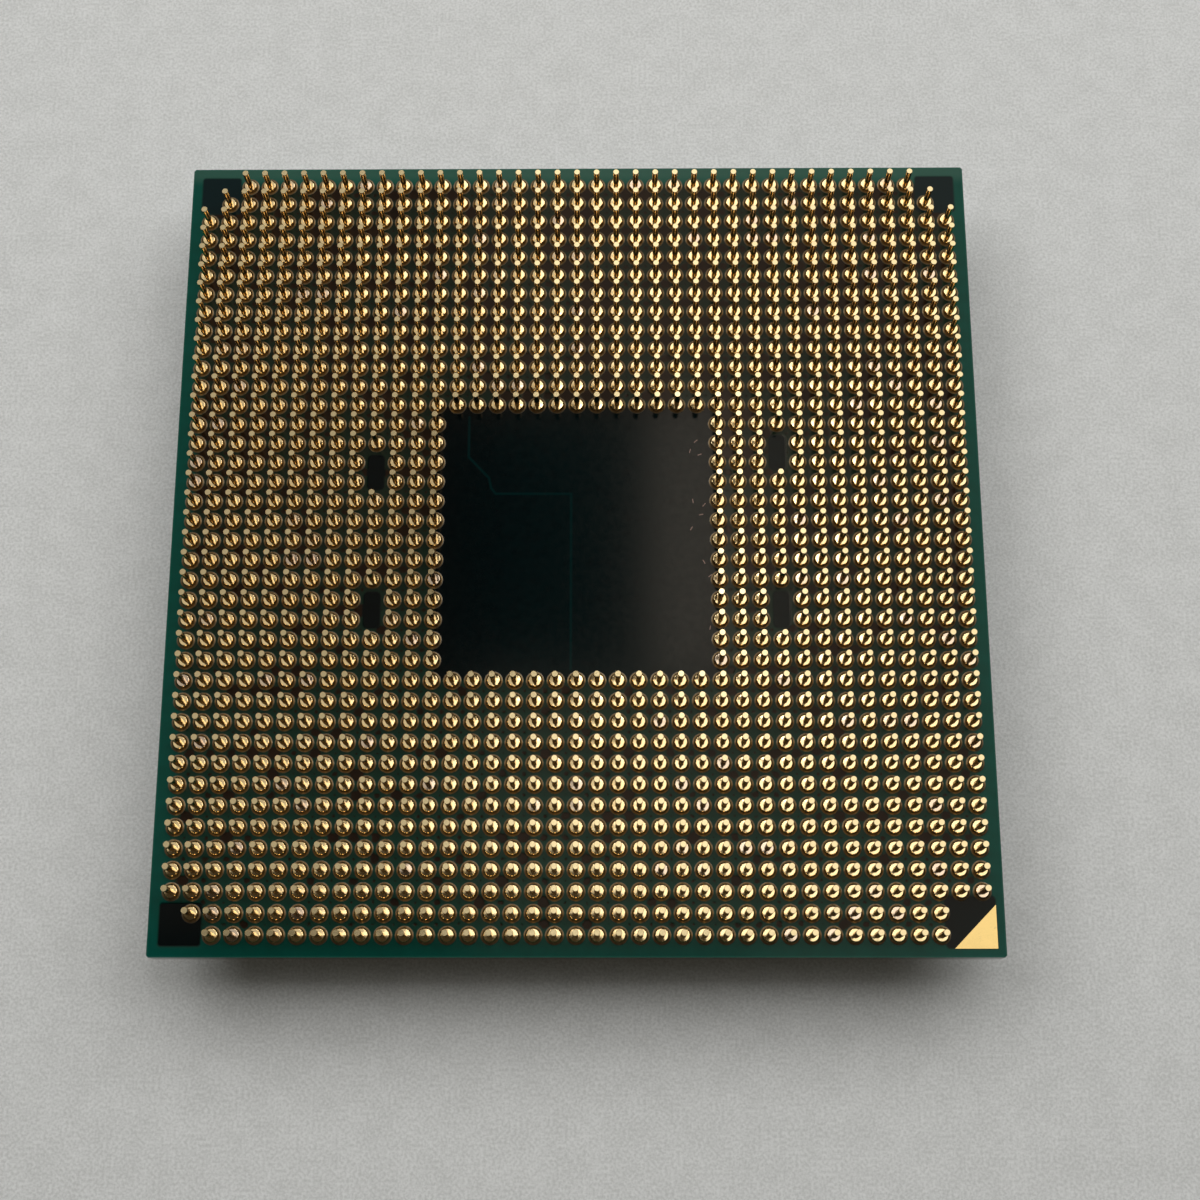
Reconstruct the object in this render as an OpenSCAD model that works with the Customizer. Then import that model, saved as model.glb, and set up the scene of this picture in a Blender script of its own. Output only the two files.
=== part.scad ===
// Pin-grid processor package, resting on its metal lid with the contact pins pointing up.
// Lengths are millimetres. The origin is the centre of the lid's outer face.

/* [Pin grid] */
// Pin rows along each side of the full square grid
grid_count = 39; // [37:2:41]
// Distance between neighbouring pins
grid_pitch = 1; // [0.98:0.01:1.1]
// Pin rows left out along each side of the empty middle
void_count = 13; // [11:2:15]
// Columns from the middle to the key gaps
key_column = 10; // [9:1:12]
// Pins missing in each key gap
key_length = 2; // [1:1:2]

/* [Pins] */
// Shaft diameter
pin_diameter = 0.3; // [0.26:0.01:0.34]
// Height of the tip above the board
pin_height = 1.77; // [1.4:0.01:2.1]
// Diameter of the head
head_diameter = 0.65; // [0.6:0.01:0.72]
// Height of the head above its seat, at the end of its rounded edge
head_height = 0.09; // [0.06:0.01:0.14]
// Width of the head's rounded edge
head_round = 0.045; // [0.03:0.005:0.1]
// Rise of the head's top from the rounded edge to the shaft
head_crown = 0.006; // [0.002:0.001:0.03]
// Rounding of the tip's edge
tip_round = 0.015; // [0.01:0.005:0.06]
// Diameter of the solder ring on the board
solder_diameter = 0.9; // [0.82:0.01:0.94]
// Height of the solder under the head
solder_height = 0.12; // [0.08:0.01:0.16]

/* [Board] */
// Distance from the outer pins to the board's edge
board_margin = 1; // [0.9:0.05:1.5]
// Board thickness
board_thickness = 1.2; // [0.9:0.05:1.5]
// Width of the small cut across each board corner
board_chamfer = 0.1; // [0.05:0.05:0.4]
// Length of the gold triangle's two short sides
marker_leg = 2; // [1.6:0.1:2.2]
// Distance of the gold triangle from the board's edges
marker_inset = 0.4; // [0.3:0.05:0.5]
// Thickness of the gold triangle
marker_thickness = 0.03; // [0.02:0.01:0.05]

/* [Lid] */
// Board left bare around the lid's flange
lid_margin = 1.3; // [1:0.1:2]
// Width of the ledge around the lid's raised face
lid_ledge = 2.7; // [2:0.1:3.2]
// Height of the raised face above the ledge
lid_step = 1.2; // [0.8:0.1:1.6]
// Thickness of the flange
flange_thickness = 1.95; // [1.7:0.05:2.4]
// Width of the lid's foot around the hollow
lid_foot = 3; // [2.6:0.1:4]
// Corner radius of the flange
flange_radius = 1.2; // [0.8:0.1:2]
// Corner radius of the raised face
face_radius = 2.4; // [1.5:0.1:3]
// Bevel around the raised face
face_bevel = 0.3; // [0.1:0.05:0.4]

/* [Sealant] */
// Thickness of the sealant bead
seal_thickness = 0.15; // [0.1:0.01:0.2]
// Width of the sealant bead
seal_width = 1.8; // [1.4:0.1:2.2]
// Length of the vent gap in the bead
vent_length = 2; // [1:0.5:4]

/* [Die] */
// Die length
die_length = 22; // [18:0.5:23]
// Die width
die_width = 9.6; // [8:0.2:11]
// Die thickness
die_thickness = 0.78; // [0.7:0.01:0.82]
// Gap between die and board, filled with resin
bump_gap = 0.07; // [0.05:0.01:0.09]
// Reach of the resin fillet around the die
fillet_reach = 0.8; // [0.5:0.1:1]
// Thickness of the metal layer between die and lid
thermal_thickness = 0.25; // [0.15:0.01:0.3]
// Distance of the metal layer's edge from the die's edge
thermal_inset = 0.2; // [0.1:0.05:0.4]

/* [Capacitors] */
// Capacitors in each row
capacitor_count = 8; // [4:1:9]
// Rows on each long side of the die
capacitor_rows = 2; // [1:1:3]
// Distance between neighbours in a row
capacitor_pitch = 2.4; // [1.6:0.1:2.8]
// Capacitor length
capacitor_length = 1; // [0.9:0.05:1.2]
// Capacitor width and height
capacitor_width = 0.5; // [0.45:0.05:0.6]
// Length of each metal end
terminal_length = 0.22; // [0.18:0.01:0.28]

/* [Hidden] */

$fn = 48;

// Outlines
grid_half = (grid_count - 1) / 2;
void_half = (void_count - 1) / 2;
board_size = 2 * (grid_half * grid_pitch + board_margin);
flange_size = board_size - 2 * lid_margin;
face_size = flange_size - 2 * lid_ledge;
hollow_size = flange_size - 2 * lid_foot;
seal_centre = flange_size - lid_foot;

// Heights above the lid's outer face
lid_height = lid_step + flange_thickness;
board_bottom = lid_height + seal_thickness;
board_top = board_bottom + board_thickness;
die_seat = board_bottom - bump_gap;
die_face = die_seat - die_thickness;
lid_roof = die_face - thermal_thickness;

// Pin head
head_radius = head_diameter / 2;
shaft_radius = pin_diameter / 2;
solder_radius = solder_diameter / 2;
edge_steps = 3;

// Capacitor rows
row_gap = 1.4;
first_row = die_width / 2 + fillet_reach + row_gap;
terminal_lip = 0.02;

// First row above the middle line of the four key gaps, as column side and lower row
key_gaps = [[-1, 3], [-1, -4], [1, 4], [1, -4]];

// Rows and columns are counted from the middle of the grid
function in_void(i, j) = abs(i) <= void_half && abs(j) <= void_half;
function in_cut(i, j) = abs(i) + abs(j) >= 2 * grid_half - 1;
function by_marker(i, j) = i >= grid_half - 1 && j <= 1 - grid_half;
function in_key(i, j) = len([
    for (gap = key_gaps)
        if (i == gap[0] * key_column && j >= gap[1] && j < gap[1] + key_length) gap
]) > 0;
function has_pin(i, j) = !in_void(i, j) && !in_cut(i, j) && !by_marker(i, j) && !in_key(i, j);
function bank(i, j) =
    j > void_half ? "north" :
    j < -void_half ? "south" :
    i < 0 ? "west" : "east";

// Profile of a pin from its seat to its tip, as radius and height above the board
function pin_profile() = concat(
    [[0, solder_height]],
    [
        for (k = [0:edge_steps])
            let (a = k * 90 / edge_steps)
            [head_radius - head_round * (1 - cos(a)), solder_height + head_height * sin(a)]
    ],
    [
        [shaft_radius, solder_height + head_height + head_crown],
        [shaft_radius, pin_height - tip_round],
        [shaft_radius - tip_round, pin_height],
        [0, pin_height]
    ]
);

// Profile of the solder ring under a pin head
function solder_profile() =
    let (fillet = solder_radius - head_radius)
    [
        [0, 0],
        [solder_radius, 0],
        [solder_radius - 0.6 * fillet, 0.3 * solder_height],
        [head_radius, solder_height],
        [0, solder_height]
    ];

module rounded_square(size, radius) {
    square([size, size - 2 * radius], center = true);
    square([size - 2 * radius, size], center = true);
    for (x = [-1, 1], y = [-1, 1]) {
        translate([x, y] * (size / 2 - radius)) circle(radius);
    }
}

module on_bank(name) {
    for (j = [grid_half:-1:-grid_half], i = [-grid_half:grid_half]) {
        if (has_pin(i, j) && bank(i, j) == name) {
            translate([i * grid_pitch, j * grid_pitch, board_top]) children();
        }
    }
}

module pins(name) {
    color([0.83, 0.68, 0.36]) on_bank(name) rotate_extrude() polygon(pin_profile());
}

module pin_solder(name) {
    color([0.45, 0.4, 0.33]) on_bank(name) rotate_extrude() polygon(solder_profile());
}

module at_capacitors() {
    for (side = [-1, 1], row = [0:capacitor_rows - 1], k = [0:capacitor_count - 1]) {
        x = (k - (capacitor_count - 1) / 2) * capacitor_pitch;
        y = side * (first_row + row * row_gap);
        translate([x, y, board_bottom - capacitor_width / 2]) children();
    }
}

module substrate() {
    color([0.02, 0.2, 0.17])
    translate([0, 0, board_bottom])
    linear_extrude(board_thickness)
    difference() {
        square(board_size, center = true);
        for (a = [0:90:270]) {
            rotate(a)
            translate([1, 1] * board_size / 2)
            rotate(45)
            square(board_chamfer * sqrt(2), center = true);
        }
    }
}

module heat_spreader() {
    corner = face_size / 2 - face_radius;
    inner_radius = face_radius - face_bevel;
    color([0.72, 0.72, 0.7])
    difference() {
        union() {
            hull() {
                for (x = [-corner, corner], y = [-corner, corner]) {
                    translate([x, y, 0]) cylinder(h = lid_step, r = inner_radius, $fn = 32);
                    translate([x, y, face_bevel]) cylinder(h = lid_step - face_bevel, r = face_radius, $fn = 32);
                }
            }
            translate([0, 0, lid_step]) linear_extrude(flange_thickness) rounded_square(flange_size, flange_radius);
        }
        translate([0, 0, lid_roof]) linear_extrude(lid_height) rounded_square(hollow_size, flange_radius);
    }
}

module lid_sealant() {
    color([0.06, 0.06, 0.06])
    translate([0, 0, lid_height])
    linear_extrude(seal_thickness)
    difference() {
        rounded_square(seal_centre + seal_width, flange_radius);
        rounded_square(seal_centre - seal_width, flange_radius);
        translate([0, seal_centre / 2]) square([vent_length, 2 * seal_width], center = true);
    }
}

module thermal_solder() {
    color([0.75, 0.75, 0.77])
    translate([0, 0, lid_roof + thermal_thickness / 2])
    cube([die_length - 2 * thermal_inset, die_width - 2 * thermal_inset, thermal_thickness], center = true);
}

module silicon_die() {
    color([0.3, 0.31, 0.34])
    translate([0, 0, die_face + die_thickness / 2])
    cube([die_length, die_width, die_thickness], center = true);
}

module die_underfill() {
    climb = die_thickness / 2;
    color([0.16, 0.14, 0.12])
    difference() {
        hull() {
            translate([0, 0, board_bottom - bump_gap / 2])
            cube([die_length + 2 * fillet_reach, die_width + 2 * fillet_reach, bump_gap], center = true);
            translate([0, 0, die_seat - climb / 2]) cube([die_length, die_width, climb], center = true);
        }
        translate([0, 0, die_seat - die_thickness]) cube([die_length, die_width, 2 * die_thickness], center = true);
    }
}

module capacitor_bodies() {
    color([0.55, 0.42, 0.3])
    at_capacitors()
    cube([
        capacitor_length - 2 * terminal_length,
        capacitor_width - 2 * terminal_lip,
        capacitor_width - 2 * terminal_lip
    ], center = true);
}

module capacitor_terminals() {
    reach = (capacitor_length - terminal_length) / 2;
    color([0.78, 0.78, 0.78])
    at_capacitors()
    for (x = [-reach, reach]) {
        translate([x, 0, 0]) cube([terminal_length, capacitor_width, capacitor_width], center = true);
    }
}

module north_pins() {
    pins("north");
}

module south_pins() {
    pins("south");
}

module west_pins() {
    pins("west");
}

module east_pins() {
    pins("east");
}

module north_pin_solder() {
    pin_solder("north");
}

module south_pin_solder() {
    pin_solder("south");
}

module west_pin_solder() {
    pin_solder("west");
}

module east_pin_solder() {
    pin_solder("east");
}

module pin_one_marker() {
    corner = board_size / 2 - marker_inset;
    color([0.93, 0.78, 0.45])
    translate([corner, -corner, board_top])
    linear_extrude(marker_thickness)
    polygon([[0, 0], [0, marker_leg], [-marker_leg, 0]]);
}

substrate();
heat_spreader();
lid_sealant();
thermal_solder();
silicon_die();
die_underfill();
capacitor_bodies();
capacitor_terminals();
north_pins();
south_pins();
west_pins();
east_pins();
north_pin_solder();
south_pin_solder();
west_pin_solder();
east_pin_solder();
pin_one_marker();
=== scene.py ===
"""Looks of a pin-grid processor that lies on its metal lid with the pins up."""

import math

import bmesh
import bpy
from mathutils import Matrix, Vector


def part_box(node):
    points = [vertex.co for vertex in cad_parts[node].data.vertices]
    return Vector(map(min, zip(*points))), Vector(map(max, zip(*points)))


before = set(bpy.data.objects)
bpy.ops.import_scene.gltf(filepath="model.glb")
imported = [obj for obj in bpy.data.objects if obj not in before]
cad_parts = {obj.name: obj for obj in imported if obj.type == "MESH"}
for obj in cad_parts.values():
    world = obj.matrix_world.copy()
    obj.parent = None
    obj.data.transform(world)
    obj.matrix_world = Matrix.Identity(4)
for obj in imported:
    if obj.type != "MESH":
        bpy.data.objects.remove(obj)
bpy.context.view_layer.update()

# One millimetre, in the metres of the scene
MM = 0.001

# Sizes of the part in millimetres, with heights above the table
board_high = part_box("substrate")[1]
BOARD_HALF = board_high.x / MM
BOARD_TOP = board_high.z / MM
PIN_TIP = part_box("north_pins")[1].z / MM

# Heights at which a pin's look changes: above the head and below the tip, where the painted shade and
# the wear of the shaft begin and end, and on the tip
SHAFT_FOOT = (BOARD_TOP + 0.22, BOARD_TOP + 0.26)
SHAFT_END = (PIN_TIP - 0.03, PIN_TIP - 0.06)
TIP_FACE = (PIN_TIP - 0.02, PIN_TIP - 0.005)

# Distance from a pin's axis at which the painted light and shade of its solder turns from brown to grey,
# in millimetres
SOLDER_RIM = (0.405, 0.43)

# Places on the pin side of the board, in millimetres from its middle
VOID_HALF = 6.95
VOID_RADIUS = 0.1
FIELD_HALF = 19.15
FIELD_RADIUS = 0.2
CORNER_MIDDLE = 18.5
CORNER_HALF = 1.0
CORNER_RADIUS = 0.15
MARKER_MIDDLE = 18.4
MARKER_HALF = 1.2
MARKER_RADIUS = 0.2
KEY_SLOTS = ((-10, 3.5), (-10, -3.5), (10, 4.5), (10, -3.5))
KEY_HALF = (0.42, 0.92)
KEY_RADIUS = 0.25
PLANE_EDGE = (
    (-5.4, 6.4), (-5.4, 4.3), (-4.37, 3.2), (-4.26, 2.69), (-4.03, 2.39), (-0.28, 2.38), (-0.28, -6.45),
)

# Short fibres of lint on the bare middle: place in millimetres and turn in degrees
FIBRES = (
    (5.93, 5.1, 40), (5.64, 4.6, 75), (6.12, 4.4, 20), (5.75, 2.0, 100), (6.3, 1.8, 50), (6.15, 1.3, 10),
    (5.66, 0.6, 60), (6.25, -1.1, 120), (6.55, -1.8, 35), (6.5, -4.4, 80),
)
FIBRE_HALF = 0.09

# Spans over which one finish or painted light and shade of the board passes into the next, in
# millimetres
COPPER_EDGE = (-0.06, 0.08)
BARE_EDGE = (0.0, 0.1)
VOID_EDGE = (0.0, -0.1)
FIELD_EDGE = (0.1, -0.3)
LINE_EDGE = (0.1, 0.02)
FIBRE_EDGE = (0.03, 0.01)
BACK_MARGIN = (19.0, 19.7)
BACK_ROWS = (12.0, 17.0)
CROWD_SPAN = (-16.0, 14.0)
PIN_SHADE_SPAN = (-19.0, 2.0)
MURK_SPAN = (-7.0, 0.0)
BOARD_RIM = (BOARD_HALF - 0.1, BOARD_HALF - 0.01)
LID_SIDE = (BOARD_TOP - 0.2, BOARD_TOP - 0.3)

# Upright share of the surface's direction on the board's faces and on its cut edges
CUT_EDGE = (0.6, 0.3)

# How much finer a pattern is along x, y and z
OPENING_STRETCH = (1.0, 1.1, 0.0)
PLY_STRETCH = (1.0, 1.0, 9.0)
BRUSH_STRETCH = (0.15, 6.0, 6.0)
MARK_STRETCH = (1.0, 0.25, 1.0)

# Ranges of roughness
HEAD_ROUGHNESS = (0.06, 0.09)
SOLDER_ROUGHNESS = (0.4, 0.55)
MASK_ROUGHNESS = (0.095, 0.12)
MARKER_ROUGHNESS = (0.1, 0.18)
NICKEL_ROUGHNESS = (0.26, 0.36)
SEALANT_ROUGHNESS = (0.55, 0.75)
TABLE_ROUGHNESS = (0.6, 0.75)

# Roughness that a pin has of its own, that its shaft and tip add by wear, and that marks add on the lid
OWN_GLOSS = 0.04
SHAFT_WEAR = 0.03
TIP_WEAR = 0.04
MARK_WEAR = 0.1

# How strongly a colour covers the one below it
DULL_COVER = 0.7
STAIN_COVER = 0.25
# Share of the painted shade on the pin shafts
SHAFT_SHADE_COVER = 0.3
SMUDGE_COVER = 0.45
# Share of the painted sheen along the back edge of the mask
MARGIN_SHEEN_COVER = 0.6
# Share of the painted highlight along the rim of the mask
RIM_HIGHLIGHT_COVER = 0.5
# Share of the painted brown shade among the pins, from the front to the back
PIN_SHADE_COVER = (0.44, 0.92)

# Colours of the pins; a pair is the range of one finish
HEAD_GOLD = ((0.95, 0.7, 0.35), (1.0, 0.77, 0.41))
DULL_GOLD = (0.62, 0.5, 0.42)
STAINED_GOLD = (0.5, 0.35, 0.18)
# Painted shade on the shafts: a darker, warmer gold in place of the dark reflections among the pins
SHAFT_SHADE_GOLD = (0.9, 0.56, 0.15)
TIP_GOLD = (0.72, 0.57, 0.31)
# Painted light and shade of the solder ring: brown beside the head, grey along its outer edge
SOLDER_BROWN = ((0.17, 0.11, 0.045), (0.33, 0.22, 0.105))
SOLDER_GREY = ((0.11, 0.095, 0.07), (0.19, 0.165, 0.13))

# Colours of the board and of what lies on it
MASK_GREEN = ((0.0, 0.05, 0.035), (0.0, 0.072, 0.053))
MASK_SHEEN = (1.0, 0.84, 0.68, 1.0)
# Painted sheen along the back edge of the mask
MARGIN_SHEEN_GREEN = (0.045, 0.115, 0.085)
# Painted highlight along the rim of the mask
RIM_HIGHLIGHT_GREEN = (0.02, 0.13, 0.1)
# Painted shade among the pins, in place of their shadow and brown reflections on the mask
PIN_SHADE_BROWN = (0.012, 0.008, 0.003)
OPENING_BROWN = ((0.006, 0.003, 0.0012), (0.024, 0.012, 0.006))
BARE_TEAL = ((0.0002, 0.002, 0.0026), (0.0008, 0.0056, 0.0062))
# Painted reflection of the back light on the bare places in the back rows
BACK_SHEEN_TEAL = (0.0012, 0.011, 0.013)
LINE_TEAL = (0.0, 0.012, 0.012)
LINT = (0.3, 0.2, 0.17)
CORE_BROWN = ((0.014, 0.008, 0.004), (0.045, 0.028, 0.014))
MARKER_GOLD = ((0.66, 0.455, 0.165), (0.72, 0.515, 0.195))
MARKER_SMUDGE = (0.45, 0.32, 0.16)

# Colours of the lid, of its sealant and of the table
NICKEL = ((0.56, 0.55, 0.52), (0.7, 0.69, 0.66))
SEALANT_BLACK = ((0.012, 0.012, 0.012), (0.03, 0.03, 0.031))
TABLE_GREY = ((0.62, 0.63, 0.61), (0.84, 0.85, 0.835))

# Finishes of the pieces inside the lid
INNER_FINISHES = {
    "thermal_solder": {
        "name": "thermal_metal", "dark": (0.55, 0.55, 0.57), "pale": (0.75, 0.75, 0.77),
        "scale": 3.0, "rough": (0.3, 0.5), "depth": 0.02, "metallic": 1.0,
    },
    "silicon_die": {
        "name": "silicon", "dark": (0.2, 0.21, 0.24), "pale": (0.3, 0.31, 0.34),
        "scale": 0.6, "rough": (0.12, 0.2), "depth": 0.002, "metallic": 0.0,
    },
    "die_underfill": {
        "name": "underfill_resin", "dark": (0.06, 0.05, 0.04), "pale": (0.14, 0.12, 0.1),
        "scale": 2.0, "rough": (0.3, 0.45), "depth": 0.02, "metallic": 0.0,
    },
    "capacitor_bodies": {
        "name": "capacitor_ceramic", "dark": (0.3, 0.21, 0.13), "pale": (0.4, 0.29, 0.19),
        "scale": 9.0, "rough": (0.5, 0.65), "depth": 0.01, "metallic": 0.0,
    },
    "capacitor_terminals": {
        "name": "terminal_tin", "dark": (0.6, 0.6, 0.6), "pale": (0.78, 0.78, 0.77),
        "scale": 12.0, "rough": (0.35, 0.5), "depth": 0.01, "metallic": 1.0,
    },
}

# Soft lamps: name, two corners in metres and brightness; all hang at one height
LAMP_HEIGHT = 0.4
LAMPS = (
    ("back_softbox", (-0.52, 0.27), (0.62, 0.6), 2.3),
    ("right_softbox", (0.16, 0.05), (0.62, 0.27), 2.15),
    ("left_softbox", (-0.52, 0.05), (-0.16, 0.27), 2.55),
    ("right_panel", (0.034, -0.03), (0.16, 0.27), 1.4),
    ("middle_panel", (0.012, 0.07), (0.034, 0.14), 4.1),
    ("back_panel", (-0.03, 0.14), (0.034, 0.27), 1.6),
    ("front_panel", (-0.03, 0.008), (0.034, 0.07), 1.55),
    ("left_back_panel", (-0.16, 0.14), (-0.03, 0.27), 0.54),
    ("left_front_panel", (-0.16, 0.012), (-0.03, 0.062), 0.56),
    ("left_panel", (-0.16, 0.062), (-0.043, 0.14), 0.47),
)

# The room fades from its horizon to its zenith between these rises of a look upwards
ROOM_BAND = (0.1, 0.28)
HORIZON = (0.46, 0.45, 0.43)
ZENITH = (0.04, 0.033, 0.024)

# The table's half width in metres and its squares along one side
TABLE_HALF = 2.0
TABLE_SQUARES = 8

# The camera: place and clipping in metres, turn in radians, sensor in millimetres,
# focal length and optical centre in pixels of a square picture
CAMERA_PLACE = (0.001484, -0.02662, 0.105925)
CAMERA_TURN = (0.308484, 0.009018, 0.000547)
CAMERA_CLIP = (0.005, 20.0)
SENSOR_WIDTH = 36.0
FOCAL_LENGTH = 2125.4
OPTICAL_CENTRE = (588, 430)
PICTURE_SIDE = 1200

# Noise lies mostly between these values
NOISE_SPAN = (0.3, 0.7)

# Half a step of the pin grid, in millimetres
HALF_STEP = (0.5, 0.5, 0.0)

# Sockets of a Mix node: its two colours and the mixed one
MIX_COLOURS = slice(6, 8)
MIX_RESULT = 2

# Vector operations that give a number
MEASURES = ("LENGTH", "DOT_PRODUCT", "DISTANCE")


class Look:
    """One node material with short names for the nodes that it is made of."""

    def __init__(self, name, **sockets):
        self.material = bpy.data.materials.new(name)
        self.material.use_nodes = True
        self.nodes = self.material.node_tree.nodes
        self.links = self.material.node_tree.links
        self.nodes.clear()
        self.shader = self.nodes.new("ShaderNodeBsdfPrincipled")
        output = self.nodes.new("ShaderNodeOutputMaterial")
        self.links.new(self.shader.outputs["BSDF"], output.inputs["Surface"])
        for socket, value in sockets.items():
            self.set(socket.replace("_", " "), value)
        place = self.nodes.new("ShaderNodeTexCoord")
        self.point = self.vector("SCALE", place.outputs["Object"], scale=1 / MM)
        self.x, self.y, self.z = self.split(self.point)
        self.flat = self.join(self.x, self.y)

    def set(self, socket, value):
        """Gives the shader's own socket a value or a link."""
        self.put(self.shader.inputs[socket], value)

    def put(self, socket, value):
        """Gives any socket a value or a link."""
        if isinstance(value, bpy.types.NodeSocket):
            self.links.new(value, socket)
        else:
            socket.default_value = value

    def math(self, operation, *values):
        """One operation on numbers."""
        node = self.nodes.new("ShaderNodeMath")
        node.operation = operation
        for socket, value in zip(node.inputs, values):
            self.put(socket, value)
        return node.outputs[0]

    def vector(self, operation, first, second=None, scale=None):
        """One operation on vectors."""
        node = self.nodes.new("ShaderNodeVectorMath")
        node.operation = operation
        self.put(node.inputs[0], first)
        if second is not None:
            self.put(node.inputs[1], second)
        if scale is not None:
            self.put(node.inputs["Scale"], scale)
        return node.outputs["Value" if operation in MEASURES else "Vector"]

    def split(self, vector):
        """The three numbers of a vector."""
        node = self.nodes.new("ShaderNodeSeparateXYZ")
        self.put(node.inputs[0], vector)
        return node.outputs[:]

    def join(self, x, y):
        """A level vector from two numbers."""
        node = self.nodes.new("ShaderNodeCombineXYZ")
        for socket, value in zip(node.inputs, (x, y)):
            self.put(socket, value)
        return node.outputs[0]

    def ramp(self, value, start, end, low=0.0, high=1.0):
        """Smooth step of value from low at start to high at end."""
        node = self.nodes.new("ShaderNodeMapRange")
        node.interpolation_type = "SMOOTHSTEP"
        for socket, number in zip(node.inputs, (value, start, end, low, high)):
            self.put(socket, number)
        return node.outputs[0]

    def noise(self, scale, detail=3.0, rough=0.55, stretch=None):
        """Noise from 0 to 1, with scale in waves per millimetre."""
        where = self.point
        if stretch is not None:
            where = self.vector("MULTIPLY", where, stretch)
        node = self.nodes.new("ShaderNodeTexNoise")
        self.put(node.inputs["Vector"], where)
        node.inputs["Scale"].default_value = scale
        node.inputs["Detail"].default_value = detail
        node.inputs["Roughness"].default_value = rough
        return node.outputs[0]

    def chance(self, cell, seed):
        """A random number for each cell."""
        node = self.nodes.new("ShaderNodeTexWhiteNoise")
        node.noise_dimensions = "4D"
        self.put(node.inputs["Vector"], cell)
        node.inputs["W"].default_value = seed
        return node.outputs["Value"]

    def mix(self, share, first, second):
        """The first colour at share 0 and the second at share 1."""
        node = self.nodes.new("ShaderNodeMix")
        node.data_type = "RGBA"
        self.put(node.inputs[0], share)
        for socket, colour in zip(node.inputs[MIX_COLOURS], (first, second)):
            self.put(socket, (*colour, 1.0) if isinstance(colour, tuple) else colour)
        return node.outputs[MIX_RESULT]

    def blend(self, first, first_share, second, second_share):
        """Two numbers added, each times its share."""
        return self.math(
            "ADD",
            self.math("MULTIPLY", first, first_share),
            self.math("MULTIPLY", second, second_share),
        )

    def bump(self, height, depth, strength):
        """Relief of height 0 to 1 that is depth millimetres deep."""
        node = self.nodes.new("ShaderNodeBump")
        node.inputs["Strength"].default_value = strength
        node.inputs["Distance"].default_value = depth * MM
        self.put(node.inputs["Height"], height)
        self.set("Normal", node.outputs[0])

    def excess(self, value, limit):
        """How far the size of a number is past a limit."""
        return self.math("MAXIMUM", self.math("SUBTRACT", self.math("ABSOLUTE", value), limit), 0.0)

    def box_distance(self, x, y, half, radius):
        """Distance from the outline of a rounded box around the origin."""
        across = self.excess(x, half[0] - radius)
        along = self.excess(y, half[1] - radius)
        return self.math("SUBTRACT", self.vector("LENGTH", self.join(across, along)), radius)

    def line_distance(self, start, end):
        """Distance from a straight line between two places on the board."""
        run = Vector((end[0] - start[0], end[1] - start[1], 0.0))
        reach = self.vector("SUBTRACT", self.flat, (start[0], start[1], 0.0))
        share = self.math("DIVIDE", self.vector("DOT_PRODUCT", reach, tuple(run)), run.length_squared)
        share = self.math("MINIMUM", self.math("MAXIMUM", share, 0.0), 1.0)
        foot = self.vector("SCALE", tuple(run), scale=share)
        return self.vector("DISTANCE", reach, foot)

    def lowest(self, values):
        """The smallest of several numbers."""
        least = values[0]
        for value in values[1:]:
            least = self.math("MINIMUM", least, value)
        return least


def pin_cell(look):
    """The row and column of the pin that a point belongs to."""
    return look.vector("FLOOR", look.vector("ADD", look.flat, HALF_STEP))


def gold_plating():
    """Thin gold on the pins: bright flat heads, each with its own tint, shafts with a painted darker,
    warmer shade, and worn tips.
    """
    look = Look("pin_gold", Metallic=1.0)
    cell = pin_cell(look)
    tint = look.mix(look.chance(cell, seed=1.0), *HEAD_GOLD)
    dull = look.ramp(look.chance(cell, seed=2.0), 0.9, 0.97, high=DULL_COVER)
    tint = look.mix(dull, tint, DULL_GOLD)
    stain = look.ramp(look.noise(5.0, detail=4.0), 0.52, 0.75, high=STAIN_COVER)
    tint = look.mix(stain, tint, STAINED_GOLD)
    shaft = look.math("MULTIPLY", look.ramp(look.z, *SHAFT_FOOT), look.ramp(look.z, *SHAFT_END))
    # Painted shade: the shafts get a darker, warmer gold that stands in for the dark reflections among
    # the pins
    tint = look.mix(look.math("MULTIPLY", shaft, SHAFT_SHADE_COVER), tint, SHAFT_SHADE_GOLD)
    tip = look.ramp(look.z, *TIP_FACE)
    look.set("Base Color", look.mix(tip, tint, TIP_GOLD))

    # Each pin has its own gloss, and shafts and tips are worn a little duller
    own = look.math("MULTIPLY", look.chance(cell, seed=3.0), OWN_GLOSS)
    fine = look.ramp(look.noise(9.0), *NOISE_SPAN, *HEAD_ROUGHNESS)
    wear = look.blend(shaft, SHAFT_WEAR, tip, TIP_WEAR)
    look.set("Roughness", look.math("ADD", look.math("ADD", own, fine), wear))
    look.bump(look.noise(2.0, detail=1.0), depth=0.004, strength=0.5)
    return look.material


def solder_metal():
    """Dull solder around each pin head, with light and shade painted by distance from the pin: brown
    beside the head and grey along its outer edge.
    """
    look = Look("pin_solder", Metallic=1.0)
    cell = pin_cell(look)
    grain = look.noise(7.0, detail=5.0)
    rim = look.ramp(look.vector("DISTANCE", look.flat, cell), *SOLDER_RIM)
    brown = look.mix(grain, *SOLDER_BROWN)
    grey = look.mix(look.chance(cell, seed=4.0), *SOLDER_GREY)
    # The brown and grey by distance from the pin are painted light and shade on the solder ring
    look.set("Base Color", look.mix(rim, brown, grey))
    look.set("Roughness", look.ramp(grain, *NOISE_SPAN, *SOLDER_ROUGHNESS))
    look.bump(look.noise(11.0, detail=4.0), depth=0.01, strength=0.5)
    return look.material


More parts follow.
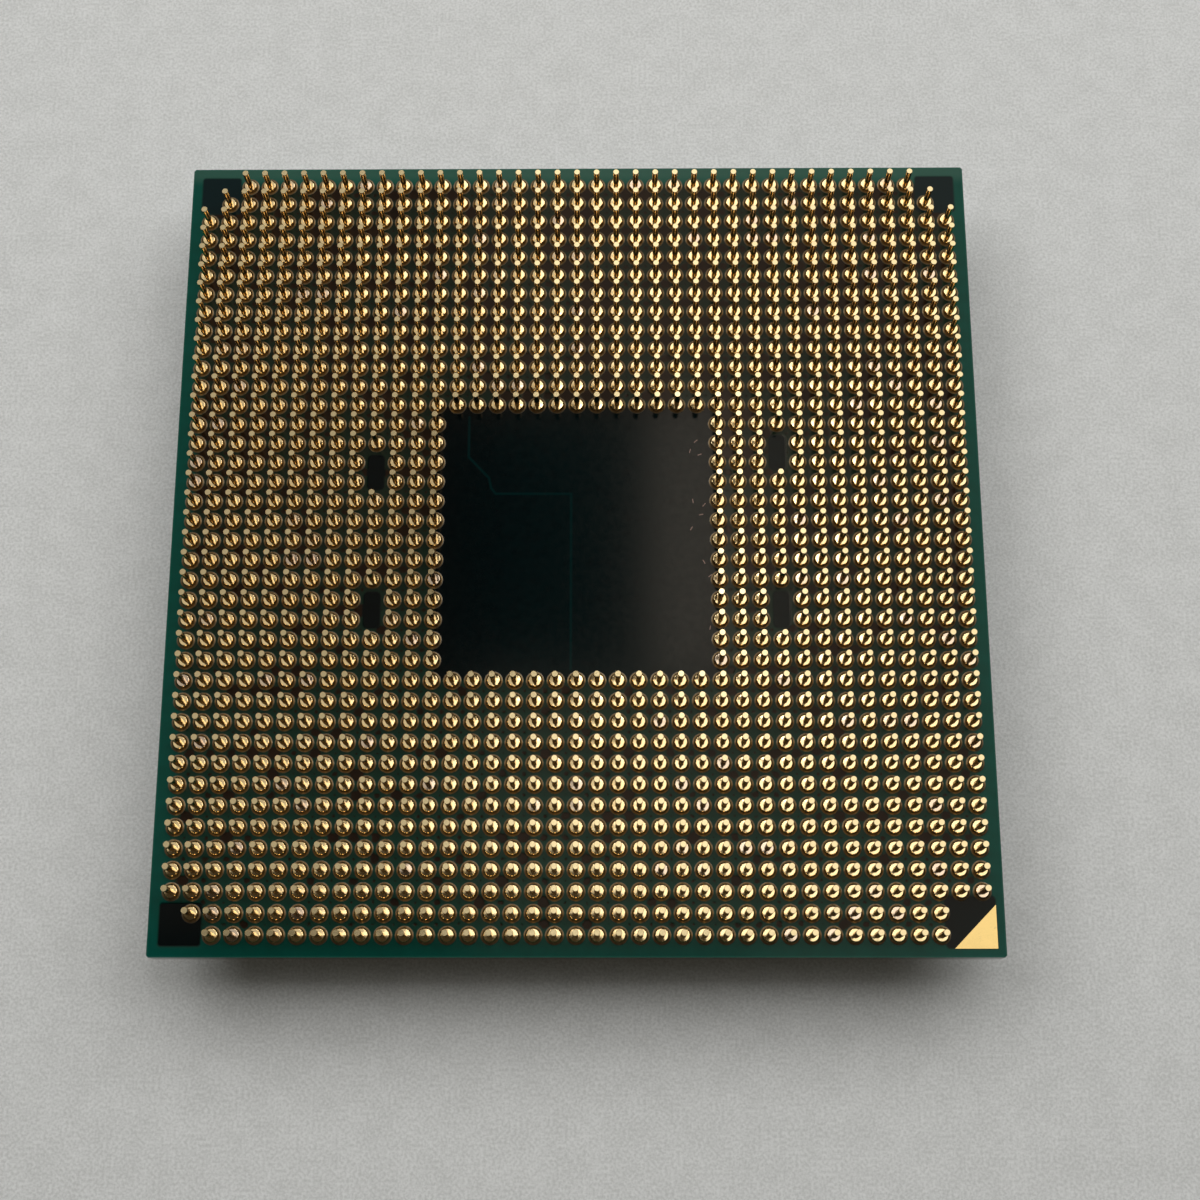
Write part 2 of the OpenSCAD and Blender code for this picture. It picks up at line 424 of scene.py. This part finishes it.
def copper_openings(look, field):
    """Distance from the openings in the copper between the pins, more of them towards the back."""
    cell = look.vector("FLOOR", look.flat)
    within = look.vector("SUBTRACT", look.vector("SUBTRACT", look.flat, cell), HALF_STEP)
    reach = look.vector("LENGTH", look.vector("MULTIPLY", within, OPENING_STRETCH))
    reach = look.math("ADD", reach, look.ramp(look.noise(2.6), 0.2, 0.8, low=-0.1, high=0.1))
    towards_back = look.ramp(look.y, *CROWD_SPAN, low=-0.12, high=0.14)
    crowd = look.math("ADD", look.chance(cell, seed=5.0), towards_back)
    size = look.ramp(crowd, 0.35, 1.05, low=0.02, high=0.36)
    return look.math("MAXIMUM", look.math("SUBTRACT", reach, size), field)


def bare_places(look, void):
    """Distance from the bare places: the corners, beside the marker, the key gaps and the middle."""
    corner_x = look.math("SUBTRACT", look.math("ABSOLUTE", look.x), CORNER_MIDDLE)
    corner_y = look.math("SUBTRACT", look.math("ABSOLUTE", look.y), CORNER_MIDDLE)
    corners = look.box_distance(corner_x, corner_y, (CORNER_HALF, CORNER_HALF), CORNER_RADIUS)
    marker_x = look.math("SUBTRACT", look.x, MARKER_MIDDLE)
    marker_y = look.math("ADD", look.y, MARKER_MIDDLE)
    beside = look.box_distance(marker_x, marker_y, (MARKER_HALF, MARKER_HALF), MARKER_RADIUS)
    slots = []
    for key_x, key_y in KEY_SLOTS:
        slot_x = look.math("SUBTRACT", look.x, key_x)
        slot_y = look.math("SUBTRACT", look.y, key_y)
        slots.append(look.box_distance(slot_x, slot_y, KEY_HALF, KEY_RADIUS))
    return look.lowest([corners, beside, void, *slots])


def mask_colour(look, field, lid_side):
    """Solder mask over copper, with a painted sheen that makes it paler along the back edge and a
    painted brown shade among the pins, stronger towards the back.
    """
    mask = look.mix(look.noise(1.7, detail=4.0), *MASK_GREEN)
    # Painted sheen: the mask is paler along the back edge, where it catches the back light
    mask = look.mix(look.ramp(look.y, *BACK_MARGIN, high=MARGIN_SHEEN_COVER), mask, MARGIN_SHEEN_GREEN)
    # Painted shade: brown among the pins, stronger towards the back, in place of the pins' shadow and
    # reflections on the mask
    towards_back = look.ramp(look.y, *PIN_SHADE_SPAN, *PIN_SHADE_COVER)
    pin_shade = look.math("MULTIPLY", look.ramp(field, *FIELD_EDGE), towards_back)
    pin_shade = look.math("MULTIPLY", pin_shade, look.math("SUBTRACT", 1.0, lid_side))
    return look.mix(pin_shade, mask, PIN_SHADE_BROWN)


def bare_colour(look, clear):
    """Places without copper: deep teal where they are wide, with a painted reflection that makes them
    paler in the back rows, and brown between the pins.
    """
    towards_right = look.ramp(look.x, *MURK_SPAN, low=0.5, high=2.1)
    murk = look.math("MULTIPLY", look.noise(2.2), towards_right)
    teal = look.mix(murk, *BARE_TEAL)
    # Painted reflection: bare places in the back rows are a paler teal, as lit by the back light
    teal = look.mix(look.ramp(look.y, *BACK_ROWS), teal, BACK_SHEEN_TEAL)
    brown = look.mix(look.noise(0.8), *OPENING_BROWN)
    return look.mix(look.ramp(clear, *BARE_EDGE), teal, brown)


def plane_line(look, void):
    """The edge of a copper plane, which crosses the middle as a fine line."""
    pieces = [look.line_distance(start, end) for start, end in zip(PLANE_EDGE, PLANE_EDGE[1:])]
    line = look.ramp(look.lowest(pieces), *LINE_EDGE)
    return look.math("MULTIPLY", line, look.ramp(void, *VOID_EDGE))


def lint_strokes(look):
    """A few short fibres of lint on the middle."""
    strokes = []
    for fibre_x, fibre_y, turn in FIBRES:
        reach_x = FIBRE_HALF * math.cos(math.radians(turn))
        reach_y = FIBRE_HALF * math.sin(math.radians(turn))
        start = (fibre_x - reach_x, fibre_y - reach_y)
        end = (fibre_x + reach_x, fibre_y + reach_y)
        strokes.append(look.line_distance(start, end))
    return look.ramp(look.lowest(strokes), *FIBRE_EDGE)


def board_laminate():
    """Green solder mask, dark where the copper below it is left out, over a laminate core."""
    look = Look("board_laminate", Specular_IOR_Level=0.12, Specular_Tint=MASK_SHEEN)
    field = look.box_distance(look.x, look.y, (FIELD_HALF, FIELD_HALF), FIELD_RADIUS)
    void = look.box_distance(look.x, look.y, (VOID_HALF, VOID_HALF), VOID_RADIUS)
    clear = bare_places(look, void)
    bare = look.math("MINIMUM", copper_openings(look, field), clear)

    # The lid side of the board is plain mask
    lid_side = look.ramp(look.z, *LID_SIDE)
    copper = look.math("MAXIMUM", look.ramp(bare, *COPPER_EDGE), lid_side)
    colour = look.mix(copper, bare_colour(look, clear), mask_colour(look, field, lid_side))
    colour = look.mix(plane_line(look, void), colour, LINE_TEAL)
    colour = look.mix(lint_strokes(look), colour, LINT)

    # A painted highlight makes the mask brighter along its rim, and the cut edges show the brown resin
    # and glass of the core
    outward = look.math("MAXIMUM", look.math("ABSOLUTE", look.x), look.math("ABSOLUTE", look.y))
    colour = look.mix(look.ramp(outward, *BOARD_RIM, high=RIM_HIGHLIGHT_COVER), colour, RIM_HIGHLIGHT_GREEN)
    facing = look.nodes.new("ShaderNodeNewGeometry")
    upright = look.math("ABSOLUTE", look.split(facing.outputs["Normal"])[2])
    core = look.mix(look.noise(3.0, detail=4.0, stretch=PLY_STRETCH), *CORE_BROWN)
    look.set("Base Color", look.mix(look.ramp(upright, *CUT_EDGE), colour, core))

    # The mask stands higher over copper
    look.set("Roughness", look.ramp(look.noise(3.5, detail=5.0), *NOISE_SPAN, *MASK_ROUGHNESS))
    look.bump(look.blend(copper, 0.98, look.noise(3.0), 0.02), depth=0.01, strength=0.4)
    return look.material


def marker_plating():
    """Bare gold of the corner triangle, with a few smudges."""
    look = Look("marker_gold", Metallic=1.0)
    cloud = look.noise(1.1, detail=4.0)
    smudge = look.ramp(look.noise(3.2, detail=5.0), 0.62, 0.74, high=SMUDGE_COVER)
    look.set("Base Color", look.mix(smudge, look.mix(cloud, *MARKER_GOLD), MARKER_SMUDGE))
    look.set("Roughness", look.ramp(cloud, *NOISE_SPAN, *MARKER_ROUGHNESS))
    look.bump(look.noise(14.0), depth=0.004, strength=0.5)
    return look.material


def lid_nickel():
    """Satin nickel with a fine grain along one way and light handling marks."""
    look = Look("lid_nickel", Metallic=1.0)
    grain = look.noise(4.0, detail=5.0, stretch=BRUSH_STRETCH)
    look.set("Base Color", look.mix(look.noise(0.12, detail=4.0), *NICKEL))
    marks = look.ramp(look.noise(0.9, detail=6.0, stretch=MARK_STRETCH), 0.55, 0.75, high=MARK_WEAR)
    satin = look.ramp(grain, *NOISE_SPAN, *NICKEL_ROUGHNESS)
    look.set("Roughness", look.math("ADD", satin, marks))
    look.bump(grain, depth=0.006, strength=0.4)
    return look.material


def soft_black():
    """Black sealant, slightly uneven where it was pressed out."""
    look = Look("sealant_rubber")
    lump = look.noise(1.6, detail=5.0)
    look.set("Base Color", look.mix(lump, *SEALANT_BLACK))
    look.set("Roughness", look.ramp(lump, *NOISE_SPAN, *SEALANT_ROUGHNESS))
    look.bump(lump, depth=0.05, strength=0.6)
    return look.material


def grained(name, dark, pale, scale, rough, depth, metallic):
    """A plain material for a piece inside the lid: two tones of one grain, with a faint relief."""
    look = Look(name, Metallic=metallic)
    grain = look.noise(scale, detail=5.0)
    look.set("Base Color", look.mix(grain, dark, pale))
    look.set("Roughness", look.ramp(grain, *NOISE_SPAN, *rough))
    look.bump(grain, depth, strength=0.5)
    return look.material


def dress(material, *names):
    """Gives CAD nodes their material."""
    for name in names:
        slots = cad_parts[name].data.materials
        slots.clear()
        slots.append(material)


def table_top():
    """Pale grey table top with a fine even grain."""
    look = Look("table_top", Specular_IOR_Level=0.25)
    cloud = look.noise(0.7)
    grain = look.noise(7.0, rough=0.6)
    tone = look.blend(cloud, 0.2, grain, 0.8)
    look.set("Base Color", look.mix(look.ramp(tone, *NOISE_SPAN), *TABLE_GREY))
    look.set("Roughness", look.ramp(grain, *NOISE_SPAN, *TABLE_ROUGHNESS))
    look.bump(grain, depth=0.01, strength=0.4)
    return look.material


def floor():
    """The table, which is not part of the object."""
    mesh = bpy.data.meshes.new("table")
    shape = bmesh.new()
    bmesh.ops.create_grid(shape, x_segments=TABLE_SQUARES, y_segments=TABLE_SQUARES, size=TABLE_HALF)
    shape.to_mesh(mesh)
    shape.free()
    mesh.materials.append(table_top())
    table = bpy.data.objects.new("table", mesh)
    bpy.context.scene.collection.objects.link(table)


def softbox(name, low, high, radiance):
    """A soft lamp that faces straight down, from its two corners and its brightness."""
    lamp = bpy.data.lights.new(name, "AREA")
    lamp.shape = "RECTANGLE"
    lamp.size = high[0] - low[0]
    lamp.size_y = high[1] - low[1]
    lamp.energy = radiance * math.pi * lamp.size * lamp.size_y
    holder = bpy.data.objects.new(name, lamp)
    holder.location = ((low[0] + high[0]) / 2, (low[1] + high[1]) / 2, LAMP_HEIGHT)
    bpy.context.scene.collection.objects.link(holder)


def room():
    """Dim surroundings with a pale band along the horizon."""
    world = bpy.data.worlds.new("room")
    world.use_nodes = True
    nodes = world.node_tree.nodes
    links = world.node_tree.links
    way = nodes.new("ShaderNodeTexCoord")
    split = nodes.new("ShaderNodeSeparateXYZ")
    links.new(way.outputs["Generated"], split.inputs[0])
    rise = nodes.new("ShaderNodeMapRange")
    rise.interpolation_type = "SMOOTHSTEP"
    for socket, value in zip(rise.inputs[1:3], ROOM_BAND):
        socket.default_value = value
    links.new(split.outputs[2], rise.inputs[0])
    shade = nodes.new("ShaderNodeMix")
    shade.data_type = "RGBA"
    links.new(rise.outputs[0], shade.inputs[0])
    for socket, colour in zip(shade.inputs[MIX_COLOURS], (HORIZON, ZENITH)):
        socket.default_value = (*colour, 1.0)
    links.new(shade.outputs[MIX_RESULT], nodes["Background"].inputs["Color"])
    bpy.context.scene.world = world


def camera():
    """The photo's view, with the optical centre above the middle of the picture."""
    lens = bpy.data.cameras.new("camera")
    lens.sensor_width = SENSOR_WIDTH
    lens.lens = FOCAL_LENGTH / PICTURE_SIDE * SENSOR_WIDTH
    lens.shift_x = (PICTURE_SIDE / 2 - OPTICAL_CENTRE[0]) / PICTURE_SIDE
    lens.shift_y = (OPTICAL_CENTRE[1] - PICTURE_SIDE / 2) / PICTURE_SIDE
    lens.clip_start, lens.clip_end = CAMERA_CLIP
    holder = bpy.data.objects.new("camera", lens)
    holder.location = CAMERA_PLACE
    holder.rotation_euler = CAMERA_TURN
    bpy.context.scene.collection.objects.link(holder)
    bpy.context.scene.camera = holder


# The part's materials
dress(board_laminate(), "substrate")
dress(gold_plating(), "north_pins", "south_pins", "west_pins", "east_pins")
dress(solder_metal(), "north_pin_solder", "south_pin_solder", "west_pin_solder", "east_pin_solder")
dress(marker_plating(), "pin_one_marker")
dress(lid_nickel(), "heat_spreader")
dress(soft_black(), "lid_sealant")
for node_name, finish in INNER_FINISHES.items():
    dress(grained(**finish), node_name)

# The table, the light and the view
floor()
for lamp_name, low_corner, high_corner, brightness in LAMPS:
    softbox(lamp_name, low_corner, high_corner, brightness)
room()
camera()
bpy.context.scene.view_settings.view_transform = "Standard"
